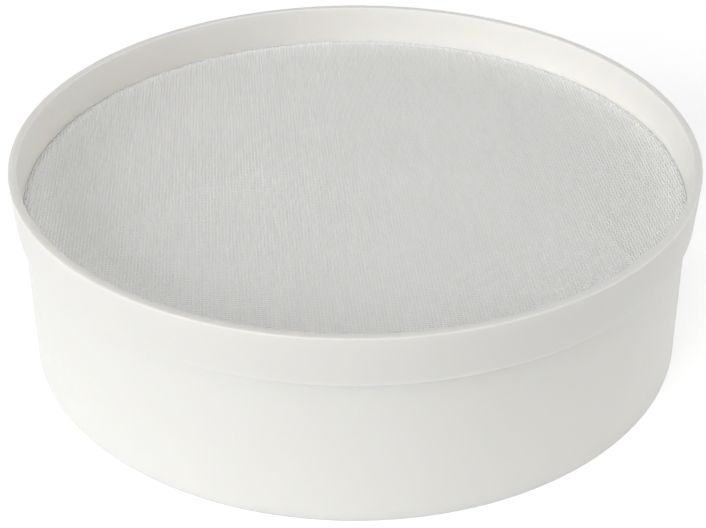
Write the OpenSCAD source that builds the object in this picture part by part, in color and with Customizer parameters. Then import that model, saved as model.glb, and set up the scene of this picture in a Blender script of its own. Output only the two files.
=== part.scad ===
// Round flour sieve. A deep drum carries a sieve cloth, stretched flat over its top end.
// A hoop is pushed down round that end and grips the cloth's turned-down border.
// Millimetres, +Z up. The origin is the middle of the face that the drum stands on.

/* [Hoop] */
// Outer diameter of the hoop at its rim
hoop_d = 210; // [150:1:320]
// Height of the hoop, from its foot edge to its rim
hoop_h = 15.3; // [10:0.1:40]
// Width of the rim's top face
rim_w = 2.8; // [1.9:0.05:4]
// Wall of the hoop at its foot edge
hoop_wall = 2.3; // [1.6:0.05:4]
// How far the outside draws in from the rim to the foot edge, on the radius
hoop_taper = 0.8; // [0:0.05:1.6]
// Rounding of the rim's two edges
rim_round = 0.35; // [0.1:0.05:0.9]
// Rounding of the foot edge's outer corner
foot_edge_round = 0.4; // [0.1:0.05:0.7]
// Chamfer inside the foot edge, which leads the hoop over the cloth
lead_in = 0.1; // [0.05:0.05:0.2]

/* [Drum] */
// Height of the drum, without the cloth on it
drum_h = 49; // [25:0.1:120]
// Wall of the drum below the hoop
drum_wall = 3.3; // [2.8:0.05:5]
// How far the drum widens from the hoop to its foot, on the radius
drum_flare = 0.7; // [0:0.05:2]
// Width of the shoulder that the hoop's foot edge rests on
shoulder_w = 0.3; // [0.25:0.05:0.6]
// Rounding of the end that the cloth is stretched over
end_round = 0.3; // [0.1:0.05:0.4]
// Rounding of the foot that the drum stands on
foot_round = 0.6; // [0.1:0.05:1]

/* [Cloth] */
// Diameter of one thread
thread_d = 0.45; // [0.15:0.05:0.5]
// Distance from one lengthwise thread to the next
warp_pitch = 1.01; // [0.8:0.01:2]
// Distance from one crosswise thread to the next
weft_pitch = 0.95; // [0.8:0.01:2]
// Threads that one strand of the drawn net stands for, so that its gaps can be counted
threads_per_strand = 11; // [9:1:30]
// Turn of the threads against the X and Y directions, in degrees
weave_turn = 6; // [-45:1:45]
// How far the hoop reaches down past the face of the cloth
lap = 2.7; // [2.4:0.1:8]
// Gap between the cut edge of the cloth's border and the drum's shoulder
border_gap = 0.3; // [0.2:0.1:0.6]

/* [Fits] */
// Clearance on the radius between the drum, the border and the hoop
fit = 0.1; // [0.05:0.01:0.15]

/* [Hidden] */
$fn = 96;

// Heights
cloth_t = 2 * thread_d;
cloth_z = drum_h + cloth_t;
shoulder_z = cloth_z - lap;
border_z = shoulder_z + border_gap;
rim_z = shoulder_z + hoop_h;

// Radii, from the rim inwards
rim_r = hoop_d / 2;
foot_edge_r = rim_r - hoop_taper;
bore_r = foot_edge_r - hoop_wall;
border_r = bore_r - fit;
border_in_r = border_r - cloth_t;
seat_r = border_in_r - fit;
shoulder_r = bore_r + shoulder_w;
mouth_r = shoulder_r - drum_wall;

// Drawn net
strand_a = thread_d * threads_per_strand;
pitch_a = warp_pitch * threads_per_strand;
pitch_b = weft_pitch * threads_per_strand;
corner_steps = 6;
plastic = [0.91, 0.91, 0.89];
cloth_white = [0.84, 0.84, 0.83];

// Points of the arc that rounds the corner at p, on the way from point a to point b
function unit(v) = v / norm(v);
function corner(a, p, b, r) =
    r <= 0 ? [p] :
    let (
        u = unit(a - p),
        v = unit(b - p),
        half = acos(max(-1, min(1, u * v))) / 2,
        middle = p + unit(u + v) * r / sin(half),
        from = p + u * r / tan(half) - middle,
        to = p + v * r / tan(half) - middle,
        start = atan2(from[1], from[0]),
        turn = (atan2(to[1], to[0]) - start + 540) % 360 - 180
    )
    [for (i = [0 : corner_steps])
        middle + r * [cos(start + turn * i / corner_steps), sin(start + turn * i / corner_steps)]];

// Outline whose corners are [radius, height, rounding], in order
function rounded(c) = [
    for (i = [0 : len(c) - 1])
        let (
            before = c[(i + len(c) - 1) % len(c)],
            here = c[i],
            after = c[(i + 1) % len(c)]
        )
        each corner(
            [before[0], before[1]],
            [here[0], here[1]],
            [after[0], after[1]],
            here[2]
        )
];

module ring(corners) {
    rotate_extrude()
        polygon(rounded(corners));
}

// Deep ring that the flour is put in when the sieve is turned over
module drum() {
    color(plastic)
        ring([
            [mouth_r + drum_flare, 0, foot_round],
            [shoulder_r + drum_flare, 0, foot_round],
            [shoulder_r, shoulder_z, 0],
            [seat_r, shoulder_z, 0],
            [seat_r, drum_h, end_round],
            [mouth_r, drum_h, end_round]
        ]);
}

// Gaps between the strands, drawn where their middle lies over the drum's mouth and cut off at its edge
module gaps() {
    reach_a = ceil(mouth_r / pitch_a);
    reach_b = ceil(mouth_r / pitch_b);
    intersection() {
        circle(mouth_r);
        for (i = [-reach_a : reach_a], j = [-reach_b : reach_b])
            if (norm([i * pitch_a, j * pitch_b]) < mouth_r)
                rotate(weave_turn)
                    translate([i * pitch_a, j * pitch_b])
                        square([pitch_a - strand_a, pitch_b - strand_a], center = true);
    }
}

// Cloth, drawn as a flat net, with its border turned down round the drum's end
module sieve_cloth() {
    color(cloth_white)
        difference() {
            ring([
                [0, drum_h, 0],
                [border_in_r, drum_h, end_round],
                [border_in_r, border_z, 0],
                [border_r, border_z, 0],
                [border_r, cloth_z, end_round + cloth_t],
                [0, cloth_z, 0]
            ]);
            translate([0, 0, drum_h - cloth_t])
                linear_extrude(3 * cloth_t)
                    gaps();
        }
}

// Hoop that grips the border and makes the shallow side of the sieve
module hoop() {
    color(plastic)
        ring([
            [bore_r + lead_in, shoulder_z, 0],
            [foot_edge_r, shoulder_z, foot_edge_round],
            [rim_r, rim_z, rim_round],
            [rim_r - rim_w, rim_z, rim_round],
            [bore_r, cloth_z, 0],
            [bore_r, shoulder_z + lead_in, 0]
        ]);
}

drum();
sieve_cloth();
hoop();
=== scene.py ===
from math import ceil, cos, floor, pi, radians, sin, sqrt

import bpy
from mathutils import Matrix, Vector


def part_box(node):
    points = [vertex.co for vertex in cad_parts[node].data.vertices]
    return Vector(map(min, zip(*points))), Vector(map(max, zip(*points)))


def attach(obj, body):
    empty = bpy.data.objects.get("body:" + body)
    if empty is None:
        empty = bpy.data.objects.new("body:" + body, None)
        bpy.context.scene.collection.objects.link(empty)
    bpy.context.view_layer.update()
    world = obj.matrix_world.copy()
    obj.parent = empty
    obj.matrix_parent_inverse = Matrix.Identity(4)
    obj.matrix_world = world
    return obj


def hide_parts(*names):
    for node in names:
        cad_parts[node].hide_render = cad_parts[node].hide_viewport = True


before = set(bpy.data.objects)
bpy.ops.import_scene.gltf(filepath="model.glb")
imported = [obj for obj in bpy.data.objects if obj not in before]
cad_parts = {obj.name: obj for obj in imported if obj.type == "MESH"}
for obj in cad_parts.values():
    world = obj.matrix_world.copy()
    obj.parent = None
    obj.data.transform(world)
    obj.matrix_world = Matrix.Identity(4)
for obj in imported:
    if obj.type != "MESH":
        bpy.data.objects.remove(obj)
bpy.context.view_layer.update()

# Camera
# A portrait lens half a metre away looks down on the sieve at about 33 degrees.
# It aims at a point under the middle of the rim, so that the sieve fills the picture.
camera_elevation = radians(32.643)
camera_distance = 0.4721
camera_roll = radians(0.158)
aim_below_rim = 0.0378
focal_length_mm = 78.37
rim_middle = Vector((0, 0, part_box("hoop")[1].z))
view_back = Vector((0, -cos(camera_elevation), sin(camera_elevation)))
view_up = Vector((0, sin(camera_elevation), cos(camera_elevation)))
bpy.ops.object.select_all(action="DESELECT")
bpy.ops.object.camera_add(location=rim_middle + camera_distance * view_back - aim_below_rim * view_up)
camera = bpy.context.object
camera.rotation_euler = (pi / 2 - camera_elevation, camera_roll, 0)
camera.data.lens = focal_length_mm
camera.data.sensor_width = 36
camera.data.clip_start = 0.01
bpy.context.scene.camera = camera

# Hoop
# The wider ring at the top, injection moulded in white plastic. It is pushed down round the
# drum's end to grip the cloth, and its height above the cloth makes the shallow side.
hoop_low, hoop_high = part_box("hoop")
rim_radius = 0.105
rim_width = 0.0028
foot_edge_radius = 0.1042
grip_radius = 0.1019
rim_rounding = 0.00035
foot_edge_rounding = 0.0004
lead_in = 0.0001
ring_steps = 384


def ring_piece(name, section):
    """A closed ring, drawn out from a circle by extruding it from one corner of its section to the next."""
    bpy.ops.object.select_all(action="DESELECT")
    radius, height = section[0]
    bpy.ops.mesh.primitive_circle_add(vertices=ring_steps, radius=radius, location=(0, 0, height))
    piece = bpy.context.object
    piece.name = name
    bpy.ops.object.mode_set(mode="EDIT")
    for next_radius, next_height in section[1:] + section[:1]:
        bpy.ops.mesh.extrude_edges_move(TRANSFORM_OT_translate={"value": (0, 0, next_height - height)})
        scale = next_radius / radius
        bpy.ops.transform.resize(value=(scale, scale, 1), center_override=(0, 0, 0))
        radius, height = next_radius, next_height
    bpy.ops.mesh.select_all(action="SELECT")
    bpy.ops.mesh.remove_doubles(threshold=0.000001)
    bpy.ops.mesh.normals_make_consistent(inside=False)
    bpy.ops.object.mode_set(mode="OBJECT")
    bpy.ops.object.transform_apply(location=True, rotation=True, scale=True)
    return piece


def round_edge(piece, radius, height, width):
    """Bevels the edge loop that runs round the piece at that radius and height."""
    near = 0.00001
    bpy.ops.object.mode_set(mode="EDIT")
    bpy.ops.mesh.select_all(action="DESELECT")
    bpy.ops.object.mode_set(mode="OBJECT")
    mesh = piece.data
    on_edge = [
        abs(v.co.z - height) < near and abs(v.co.xy.length - radius) < near for v in mesh.vertices
    ]
    for edge in mesh.edges:
        edge.select = all(on_edge[v] for v in edge.vertices)
    bpy.ops.object.mode_set(mode="EDIT")
    bpy.ops.mesh.select_mode(type="EDGE")
    bpy.ops.mesh.bevel(offset=width, segments=4, affect="EDGES")
    bpy.ops.mesh.select_mode(type="VERT")
    bpy.ops.object.mode_set(mode="OBJECT")


def value_node(nodes, kind, **inputs):
    node = nodes.new(kind)
    for name, value in inputs.items():
        node.inputs[name.replace("_", " ")].default_value = value
    return node


cloth_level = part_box("sieve_cloth")[1].z
# Round the pinch, the colour is brightened as painted light, for the light that comes through the plastic.
pinch_radius = grip_radius - 0.0015
pinch_height = (hoop_low.z + cloth_level) / 2
pinch_reach = 0.002
pinch_fade = 0.0004


def distance_from_axis(tree):
    nodes, link = tree.nodes, tree.links.new
    place = nodes.new("ShaderNodeTexCoord")
    flat = nodes.new("ShaderNodeVectorMath")
    flat.operation = "MULTIPLY"
    flat.inputs[1].default_value = (1, 1, 0)
    link(place.outputs["Object"], flat.inputs[0])
    distance = nodes.new("ShaderNodeVectorMath")
    distance.operation = "LENGTH"
    link(flat.outputs["Vector"], distance.inputs[0])
    return distance.outputs["Value"]


def painted_ledge_light_share(group):
    """1 on what lies by the ring where the cloth is pinched, where painted light brightens the colour, and 0
    elsewhere.
    """
    nodes, link = group.nodes, group.links.new
    place = nodes.new("ShaderNodeTexCoord")
    height = nodes.new("ShaderNodeSeparateXYZ")
    link(place.outputs["Object"], height.inputs[0])
    in_section = nodes.new("ShaderNodeCombineXYZ")
    link(distance_from_axis(group), in_section.inputs["X"])
    link(height.outputs["Z"], in_section.inputs["Z"])
    from_pinch = nodes.new("ShaderNodeVectorMath")
    from_pinch.operation = "DISTANCE"
    from_pinch.inputs[1].default_value = (pinch_radius, 0, pinch_height)
    link(in_section.outputs["Vector"], from_pinch.inputs[0])
    share = nodes.new("ShaderNodeMapRange")
    share.inputs["From Min"].default_value = pinch_reach + pinch_fade
    share.inputs["From Max"].default_value = pinch_reach
    link(from_pinch.outputs["Value"], share.inputs["Value"])
    return share.outputs["Result"]


def plastic_finish_and_light():
    """Colour, roughness and height of a used plastic: faint clouding, a fine grain and a few handling marks.

    Where the cloth is pinched, the colour is brightened: painted light that stands in for light coming through the
    plastic.
    """
    group = bpy.data.node_groups.new("plastic_finish_and_light", "ShaderNodeTree")
    for name, kind in (("Colour", "NodeSocketColor"), ("Roughness", "NodeSocketFloat")):
        group.interface.new_socket(name, in_out="INPUT", socket_type=kind)
        group.interface.new_socket(name, in_out="OUTPUT", socket_type=kind)
    group.interface.new_socket("Painted Light Colour", in_out="INPUT", socket_type="NodeSocketColor")
    group.interface.new_socket("Clouding", in_out="INPUT", socket_type="NodeSocketFloat")
    group.interface.new_socket("Height", in_out="OUTPUT", socket_type="NodeSocketFloat")
    nodes, link = group.nodes, group.links.new
    inputs, outputs = nodes.new("NodeGroupInput"), nodes.new("NodeGroupOutput")
    place = nodes.new("ShaderNodeTexCoord")
    clouds = value_node(nodes, "ShaderNodeTexNoise", Scale=28, Detail=3)
    grain = value_node(nodes, "ShaderNodeTexNoise", Scale=2600, Detail=2)
    marks = value_node(nodes, "ShaderNodeTexNoise", Scale=140, Detail=6, Distortion=1.5)
    for texture in (clouds, grain, marks):
        link(place.outputs["Object"], texture.inputs["Vector"])
    around = nodes.new("ShaderNodeMath")
    around.operation = "SUBTRACT"
    around.inputs[1].default_value = 0.5
    link(clouds.outputs["Fac"], around.inputs[0])
    amount = nodes.new("ShaderNodeMath")
    amount.operation = "MULTIPLY_ADD"
    amount.inputs[2].default_value = 1
    link(around.outputs[0], amount.inputs[0])
    link(inputs.outputs["Clouding"], amount.inputs[1])
    # Painted light: by the pinched cloth, the colour is mixed towards the brighter one.
    plain_or_painted_light = nodes.new("ShaderNodeMix")
    plain_or_painted_light.data_type = "RGBA"
    link(painted_ledge_light_share(group), plain_or_painted_light.inputs["Factor"])
    link(inputs.outputs["Colour"], plain_or_painted_light.inputs["A"])
    link(inputs.outputs["Painted Light Colour"], plain_or_painted_light.inputs["B"])
    shade = nodes.new("ShaderNodeVectorMath")
    shade.operation = "SCALE"
    link(plain_or_painted_light.outputs["Result"], shade.inputs[0])
    link(amount.outputs[0], shade.inputs["Scale"])
    link(shade.outputs["Vector"], outputs.inputs["Colour"])
    worn = nodes.new("ShaderNodeMapRange")
    worn.inputs["From Min"].default_value = 0.35
    worn.inputs["From Max"].default_value = 0.65
    worn.inputs["To Min"].default_value = -0.05
    worn.inputs["To Max"].default_value = 0.05
    link(marks.outputs["Fac"], worn.inputs["Value"])
    rough = nodes.new("ShaderNodeMath")
    rough.operation = "ADD"
    link(inputs.outputs["Roughness"], rough.inputs[0])
    link(worn.outputs["Result"], rough.inputs[1])
    link(rough.outputs[0], outputs.inputs["Roughness"])
    link(grain.outputs["Fac"], outputs.inputs["Height"])
    return group


finish_and_light_group = plastic_finish_and_light()


def white_plastic(name, colour, painted_light_colour, roughness, clouding, light_depth, depth_colour=(1, 0.85, 0.7)):
    """White plastic that lets light a little way in, up to about light_depth metres."""
    material = bpy.data.materials.new(name)
    material.use_nodes = True
    nodes, link = material.node_tree.nodes, material.node_tree.links.new
    shader = nodes["Principled BSDF"]
    shader.inputs["IOR"].default_value = 1.49
    shader.inputs["Subsurface Weight"].default_value = 1
    shader.inputs["Subsurface Radius"].default_value = depth_colour
    shader.inputs["Subsurface Scale"].default_value = light_depth
    # The finish brightens the colour by the pinched cloth, as painted light.
    finish = nodes.new("ShaderNodeGroup")
    finish.name = "finish"
    finish.node_tree = finish_and_light_group
    finish.inputs["Colour"].default_value = (*colour, 1)
    finish.inputs["Painted Light Colour"].default_value = (*painted_light_colour, 1)
    finish.inputs["Roughness"].default_value = roughness
    finish.inputs["Clouding"].default_value = clouding
    bump = value_node(nodes, "ShaderNodeBump", Strength=0.12, Distance=0.00005)
    link(finish.outputs["Colour"], shader.inputs["Base Color"])
    link(finish.outputs["Roughness"], shader.inputs["Roughness"])
    link(finish.outputs["Height"], bump.inputs["Height"])
    link(bump.outputs["Normal"], shader.inputs["Normal"])
    return material


ring_white = (0.80, 0.797, 0.775)
# The brighter white is painted light by the pinched cloth, for the light that comes through the plastic there.
painted_light_ring_white = (0.96, 0.957, 0.935)
# The hoop's inside is painted whiter than its outside: painted light that stands in for light coming through the thin
# wall.
inner_wall_painted_light_white = (0.88, 0.877, 0.853)
hoop_plastic = white_plastic("hoop_plastic", ring_white, painted_light_ring_white, 0.42, 0.03, light_depth=0.002)
tree = hoop_plastic.node_tree
outside = tree.nodes.new("ShaderNodeMapRange")
outside.inputs["From Min"].default_value = rim_radius - rim_width + 0.0001
outside.inputs["From Max"].default_value = rim_radius - rim_width + 0.0003
tree.links.new(distance_from_axis(tree), outside.inputs["Value"])
# Painted light: inside the rim's inner edge, the hoop's colour is the whiter one.
inner_painted_light_or_outside = tree.nodes.new("ShaderNodeMix")
inner_painted_light_or_outside.data_type = "RGBA"
inner_painted_light_or_outside.inputs["A"].default_value = (*inner_wall_painted_light_white, 1)
inner_painted_light_or_outside.inputs["B"].default_value = (*ring_white, 1)
tree.links.new(outside.outputs["Result"], inner_painted_light_or_outside.inputs["Factor"])
tree.links.new(inner_painted_light_or_outside.outputs["Result"], tree.nodes["finish"].inputs["Colour"])
hoop = ring_piece("hoop_ring", [
    (grip_radius + lead_in, hoop_low.z),
    (foot_edge_radius, hoop_low.z),
    (rim_radius, hoop_high.z),
    (rim_radius - rim_width, hoop_high.z),
    (grip_radius, cloth_level),
    (grip_radius, hoop_low.z + lead_in),
])
round_edge(hoop, rim_radius, hoop_high.z, rim_rounding)
round_edge(hoop, rim_radius - rim_width, hoop_high.z, rim_rounding)
round_edge(hoop, foot_edge_radius, hoop_low.z, foot_edge_rounding)
bpy.ops.object.shade_smooth_by_angle(angle=radians(30))
hoop.data.materials.append(hoop_plastic)
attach(hoop, "hoop")
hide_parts("hoop")

# Drum
# The deep ring that the sieve stands on, moulded in the same plastic. Its end is turned down
# to a thinner seat under the hoop, and its wall widens a little towards the foot.
drum_low, drum_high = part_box("drum")
drum_foot_radius = 0.1029
shoulder_radius = 0.1022
seat_radius = 0.1008
mouth_radius = 0.0989
foot_rounding = 0.0006
end_rounding = 0.0003
drum_wall = shoulder_radius - mouth_radius
drum_plastic = white_plastic("drum_plastic", ring_white, painted_light_ring_white, 0.42, 0.03, light_depth=0.006)
drum = ring_piece("drum_ring", [
    (drum_foot_radius - drum_wall, drum_low.z),
    (drum_foot_radius, drum_low.z),
    (shoulder_radius, hoop_low.z),
    (seat_radius, hoop_low.z),
    (seat_radius, drum_high.z),
    (mouth_radius, drum_high.z),
])
for radius, height, width in (
    (drum_foot_radius - drum_wall, drum_low.z, foot_rounding),
    (drum_foot_radius, drum_low.z, foot_rounding),
    (seat_radius, drum_high.z, end_rounding),
    (mouth_radius, drum_high.z, end_rounding),
):
    round_edge(drum, radius, height, width)
bpy.ops.object.shade_smooth_by_angle(angle=radians(30))
drum.data.materials.append(drum_plastic)
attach(drum, "drum")
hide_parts("drum")

# Sieve cloth
# One round cut of white nylon cloth in a twill, two threads over and one under. It is stretched
# over the drum's end, and its border is turned down outside, where the hoop pinches it.
# It is made thread by thread, in six patches that together are the one cut.
thread_diameter = 0.00045
warp_pitch = 0.00101
weft_pitch = 0.00095
warp_turn = radians(4.6)
weft_turn = radians(6)
warp_wave = 1
twill_repeat = 3
thread_sides = 6
border_inside = 0.101
cloth_middle = cloth_level - thread_diameter
border_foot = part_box("sieve_cloth")[0].z
bend_radius = 0.00025
bend_steps = 3
bend_start = border_inside + thread_diameter - bend_radius
bend_middle = cloth_middle - bend_radius
cut_radius = bend_start + bend_radius * pi / 2 + bend_middle - border_foot
middle_patch = 0.0546
end_step = 7
end_spread = 5
warp_way = Vector((-sin(warp_turn), cos(warp_turn)))
weft_way = Vector((cos(weft_turn), sin(weft_turn)))


def on_drum(flat, side, is_warp):
    """Where a thread's point of the flat cut lies on the drum's end: side 1 on the cloth's face, -1 under it.

    In the open, the lengthwise threads wave more than the crosswise ones. Where the hoop
    pinches the cloth, both wave alike.
    """
    radius = flat.length
    pinched = min(max((radius - mouth_radius) / (bend_start - mouth_radius), 0), 1)
    more = (warp_wave - 0.5) * thread_diameter * (1 - pinched)
    lift = more + side * (thread_diameter / 2 + (more if is_warp else -more))
    past = radius - bend_start
    if past <= 0:
        return Vector((flat.x, flat.y, cloth_middle + lift))
    outwards = flat / radius
    angle = min(past / bend_radius, pi / 2)
    down = max(0, past - bend_radius * pi / 2)
    reach = bend_start + (bend_radius + lift) * sin(angle)
    height = bend_middle + (bend_radius + lift) * cos(angle) - down
    return Vector((outwards.x * reach, outwards.y * reach, height))


def reach_along(across, radius, sign):
    """How far along itself a thread reaches a circle of the flat cut, at distance across from the middle."""
    slant = across * warp_way.dot(weft_way)
    return sign * sqrt(radius**2 - across**2 + slant**2) - slant


def thread_places(across, pitch, start, end):
    """Distances along a thread where it gets a point: its ends, each crossing and the steps of the bend."""
    crossings = range(ceil(start / pitch - 0.5), ceil(end / pitch - 0.5))
    places = {start, end, *((number + 0.5) * pitch for number in crossings)}
    for step in range(bend_steps + 1):
        radius = bend_start + bend_radius * pi / 2 * step / bend_steps
        if abs(across) < radius:
            places.update(reach_along(across, radius, sign) for sign in (-1, 1))
    return sorted(place for place in places if start <= place <= end)


def side_at(crossing, number, is_warp):
    """1 where thread number of its set passes over the crossing thread, and -1 where it passes under."""
    if is_warp:
        return 1 if (number - crossing) % twill_repeat else -1
    return -1 if (crossing - number) % twill_repeat else 1


def patch_end(border, number, pitch, is_warp):
    """Where a thread ends near a patch's border: under a crossing thread, and not in line with its neighbours."""
    crossing = round(border / pitch) + number * end_step % (2 * end_spread + 1) - end_spread
    while side_at(crossing, number, is_warp) > 0:
        crossing += 1
    return (crossing + 0.5) * pitch


def cloth_patch(name, low, high):
    """The threads of both sets that lie in one patch, between two corners of the flat cut, as one piece."""
    curve = bpy.data.curves.new(name, "CURVE")
    curve.dimensions = "3D"
    curve.bevel_depth = thread_diameter / 2
    curve.bevel_resolution = (thread_sides - 4) // 2
    curve.use_fill_caps = True
    flat_area = 0
    flat_size = []
    for is_warp in (False, True):
        thread_ends = []
        pitch, other_pitch = (warp_pitch, weft_pitch) if is_warp else (weft_pitch, warp_pitch)
        side_low, along_low = low if is_warp else reversed(low)
        side_high, along_high = high if is_warp else reversed(high)
        first = max(ceil(side_low / pitch - 0.5), ceil(-cut_radius / pitch - 0.5))
        last = min(ceil(side_high / pitch - 0.5), ceil(cut_radius / pitch - 0.5))
        for number in range(first, last):
            across = (number + 0.5) * pitch
            start, end = (
                patch_end(border, number, other_pitch, is_warp) for border in (along_low, along_high)
            )
            start = max(start, reach_along(across, cut_radius, -1))
            end = min(end, reach_along(across, cut_radius, 1))
            if end - start < pitch:
                continue
            thread_ends += [start, end]
            points = []
            for place in thread_places(across, other_pitch, start, end):
                before = place / other_pitch - 0.5
                share = before % 1
                side = side_at(floor(before), number, is_warp) * (1 - share)
                side += side_at(floor(before) + 1, number, is_warp) * share
                if is_warp:
                    flat = across * weft_way + place * warp_way
                else:
                    flat = place * weft_way + across * warp_way
                points.append(on_drum(flat, side, is_warp))
            spline = curve.splines.new("POLY")
            spline.points.add(len(points) - 1)
            for point, co in zip(spline.points, points):
                point.co = (*co, 1)
            if is_warp:
                flat_area += (end - start) * pitch
        flat_size.append(max(thread_ends) - min(thread_ends))
    piece = bpy.data.objects.new(name, curve)
    bpy.context.collection.objects.link(piece)
    bpy.ops.object.select_all(action="DESELECT")
    bpy.context.view_layer.objects.active = piece
    piece.select_set(True)
    bpy.ops.object.convert(target="MESH")
    piece = bpy.context.object
    bpy.ops.object.mode_set(mode="EDIT")
    bpy.ops.mesh.select_all(action="SELECT")
    bpy.ops.mesh.remove_doubles(threshold=0.000001)
    bpy.ops.mesh.normals_make_consistent(inside=False)
    bpy.ops.object.mode_set(mode="OBJECT")
    bpy.ops.object.shade_smooth_by_angle(angle=radians(75))
    return piece, flat_size, flat_area


thread_white = (0.88, 0.875, 0.86)
# The brighter thread white is painted light by the pinched cloth, for the light that comes through the plastic under
# it.
painted_light_thread_white = (0.98, 0.975, 0.96)
nylon = white_plastic(
    "nylon_thread", thread_white, painted_light_thread_white, 0.5, 0.06, light_depth=0.0006, depth_colour=(1, 0.95, 0.9)
)
edge = middle_patch / 2
outside = cut_radius + 0.02
for side_name, left, right in (
    ("left", -outside, -edge),
    ("middle", -edge, edge),
    ("right", edge, outside),
):
    for end_name, front, back in (("front", -outside, 0), ("back", 0, outside)):
        patch_name = "cloth_%s_%s" % (end_name, side_name)
        patch, flat_size, flat_area = cloth_patch(patch_name, (left, front), (right, back))
        patch.data.materials.append(nylon)
        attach(patch, "cloth")
        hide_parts("sieve_cloth")

# Table, studio and lamps
# A white table in a white studio, with a wide softbox low on the left, a larger one overhead and
# a weak one on the right. The table round the drum is lit to white, the table inside it isn't.
table_white = 0.4
table_glow = 0.1
# The table inside the drum glows for all rays, standing in for the light that comes through the drum's wall.
inside_glow = 0.24
studio_white = 1
studio_light = 0.15
softbox_distance = 6


def seen_directly(tree):
    """1 for rays from the camera, gloss and clear surfaces, and 0 for the light that the object gets."""
    path = tree.nodes.new("ShaderNodeLightPath")
    directly = path.outputs["Is Camera Ray"]
    for kind in ("Is Glossy Ray", "Is Transmission Ray"):
        any_of_them = tree.nodes.new("ShaderNodeMath")
        any_of_them.operation = "MAXIMUM"
        tree.links.new(directly, any_of_them.inputs[0])
        tree.links.new(path.outputs[kind], any_of_them.inputs[1])
        directly = any_of_them.outputs[0]
    return directly


def strength_between(tree, share, at_none, at_all):
    strength = tree.nodes.new("ShaderNodeMath")
    strength.operation = "MULTIPLY_ADD"
    strength.inputs[1].default_value = at_all - at_none
    strength.inputs[2].default_value = at_none
    tree.links.new(share, strength.inputs[0])
    return strength.outputs[0]


bpy.ops.object.select_all(action="DESELECT")
bpy.ops.mesh.primitive_plane_add(size=20)
table = bpy.context.object
table.name = "table"
table_top = bpy.data.materials.new("white_table")
table_top.use_nodes = True
tree = table_top.node_tree
tree.nodes.clear()
paint = tree.nodes.new("ShaderNodeBsdfDiffuse")
paint.inputs["Color"].default_value = (0.9, 0.9, 0.9, 1)
place = tree.nodes.new("ShaderNodeTexCoord")
from_middle = tree.nodes.new("ShaderNodeVectorMath")
from_middle.operation = "LENGTH"
tree.links.new(place.outputs["Object"], from_middle.inputs[0])
round_the_drum = tree.nodes.new("ShaderNodeMath")
round_the_drum.operation = "GREATER_THAN"
round_the_drum.inputs[1].default_value = drum_foot_radius - drum_wall / 2
tree.links.new(from_middle.outputs["Value"], round_the_drum.inputs[0])
glow_there = tree.nodes.new("ShaderNodeMix")
glow_there.inputs["A"].default_value = inside_glow
tree.links.new(round_the_drum.outputs[0], glow_there.inputs["Factor"])
tree.links.new(strength_between(tree, seen_directly(tree), table_glow, table_white), glow_there.inputs["B"])
glow = tree.nodes.new("ShaderNodeEmission")
glow.inputs["Color"].default_value = (1, 1, 1, 1)
tree.links.new(glow_there.outputs["Result"], glow.inputs["Strength"])
both = tree.nodes.new("ShaderNodeAddShader")
tree.links.new(paint.outputs[0], both.inputs[0])
tree.links.new(glow.outputs[0], both.inputs[1])
output = tree.nodes.new("ShaderNodeOutputMaterial")
tree.links.new(both.outputs[0], output.inputs["Surface"])
table.data.materials.append(table_top)

studio = bpy.data.worlds.new("studio")
bpy.context.scene.world = studio
studio.use_nodes = True
tree = studio.node_tree
walls = tree.nodes["Background"]
walls.inputs["Color"].default_value = (1, 1, 1, 1)
tree.links.new(strength_between(tree, seen_directly(tree), studio_light, studio_white), walls.inputs["Strength"])


def softbox(name, azimuth, elevation, width, height, watts):
    """A rectangular lamp that faces the sieve, azimuth counted from the front towards the right."""
    across = cos(radians(elevation))
    towards = Vector((
        sin(radians(azimuth)) * across, -cos(radians(azimuth)) * across, sin(radians(elevation))
    ))
    bpy.ops.object.light_add(type="AREA", location=towards * softbox_distance)
    lamp = bpy.context.object
    lamp.name = name
    lamp.rotation_euler = towards.to_track_quat("Z", "Y").to_euler()
    lamp.data.shape = "RECTANGLE"
    lamp.data.size = width
    lamp.data.size_y = height
    lamp.data.energy = watts


softbox("left_softbox", azimuth=-48, elevation=18, width=7, height=3, watts=250)
softbox("overhead_softbox", azimuth=0, elevation=80, width=4.8, height=4.8, watts=155)
softbox("right_softbox", azimuth=102, elevation=12, width=5, height=2, watts=90)

bpy.context.scene.cycles.diffuse_bounces = 8
bpy.context.scene.view_settings.view_transform = "Standard"
